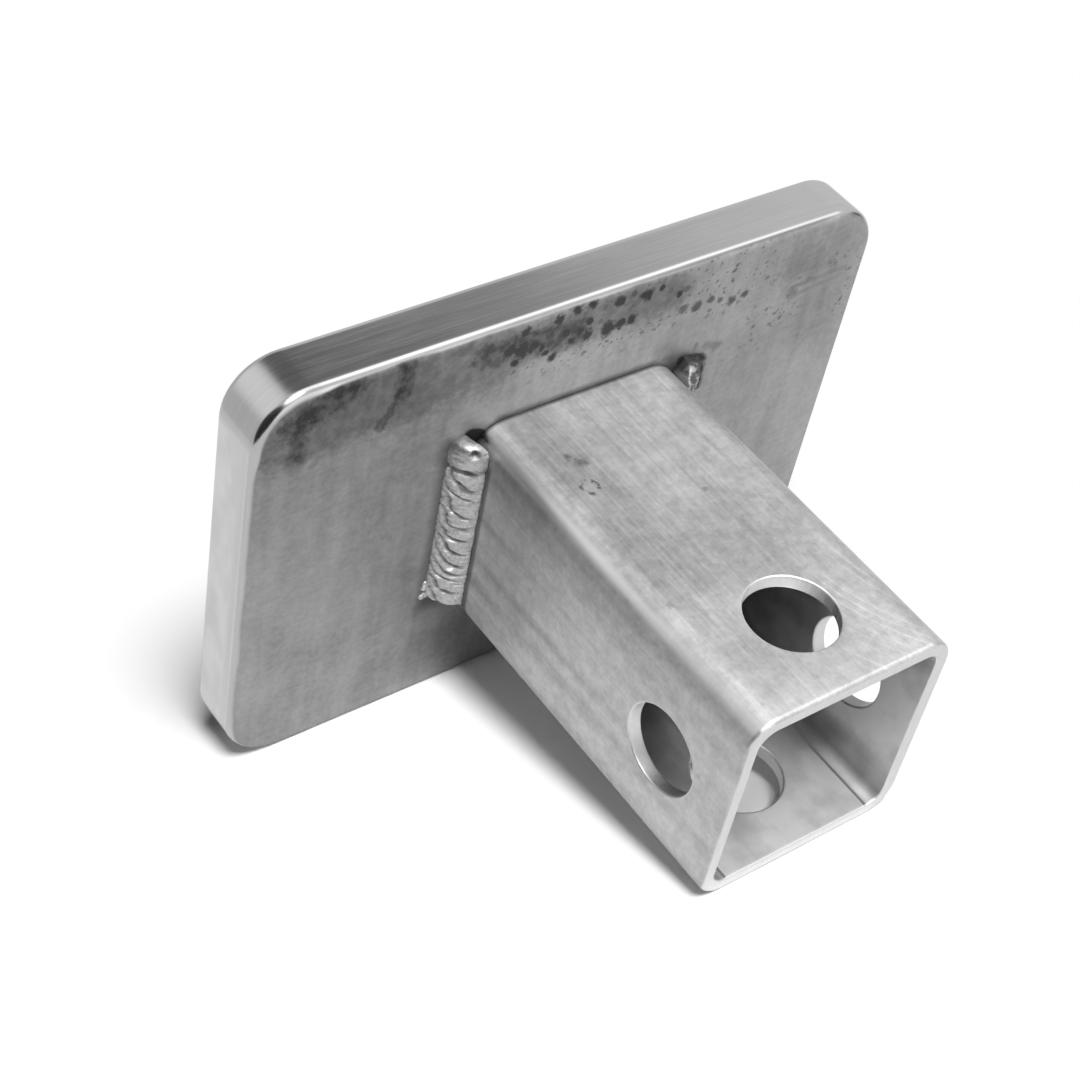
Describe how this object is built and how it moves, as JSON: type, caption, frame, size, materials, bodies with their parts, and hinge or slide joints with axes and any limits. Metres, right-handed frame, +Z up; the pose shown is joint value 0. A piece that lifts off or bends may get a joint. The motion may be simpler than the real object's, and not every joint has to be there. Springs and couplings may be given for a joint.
{
  "type": "hitch receiver plug",
  "caption": "Thick round-cornered plate that covers a square hitch receiver's mouth, with a welded square tube on its back, drilled both ways for a hitch pin.",
  "frame": {"origin": "where the axes of the two pin holes cross, on the tube's centre line", "axes": "+X across the plate along the level pin hole, +Y along the tube towards its open end and into the receiver, +Z up in use"},
  "size_m": [0.1524, 0.1015, 0.1],
  "materials": {
    "plate": "polished edges, mill face with grey stains",
    "tube": "extruded mill finish with lengthwise streaks",
    "weld": "rippled bright weld metal"
  },
  "bodies": {
    "root": {"cover_plate": "plate", "shank_tube": "tube", "weld_bead_left": "weld", "weld_bead_right": "weld"}
  },
  "joints": []
}
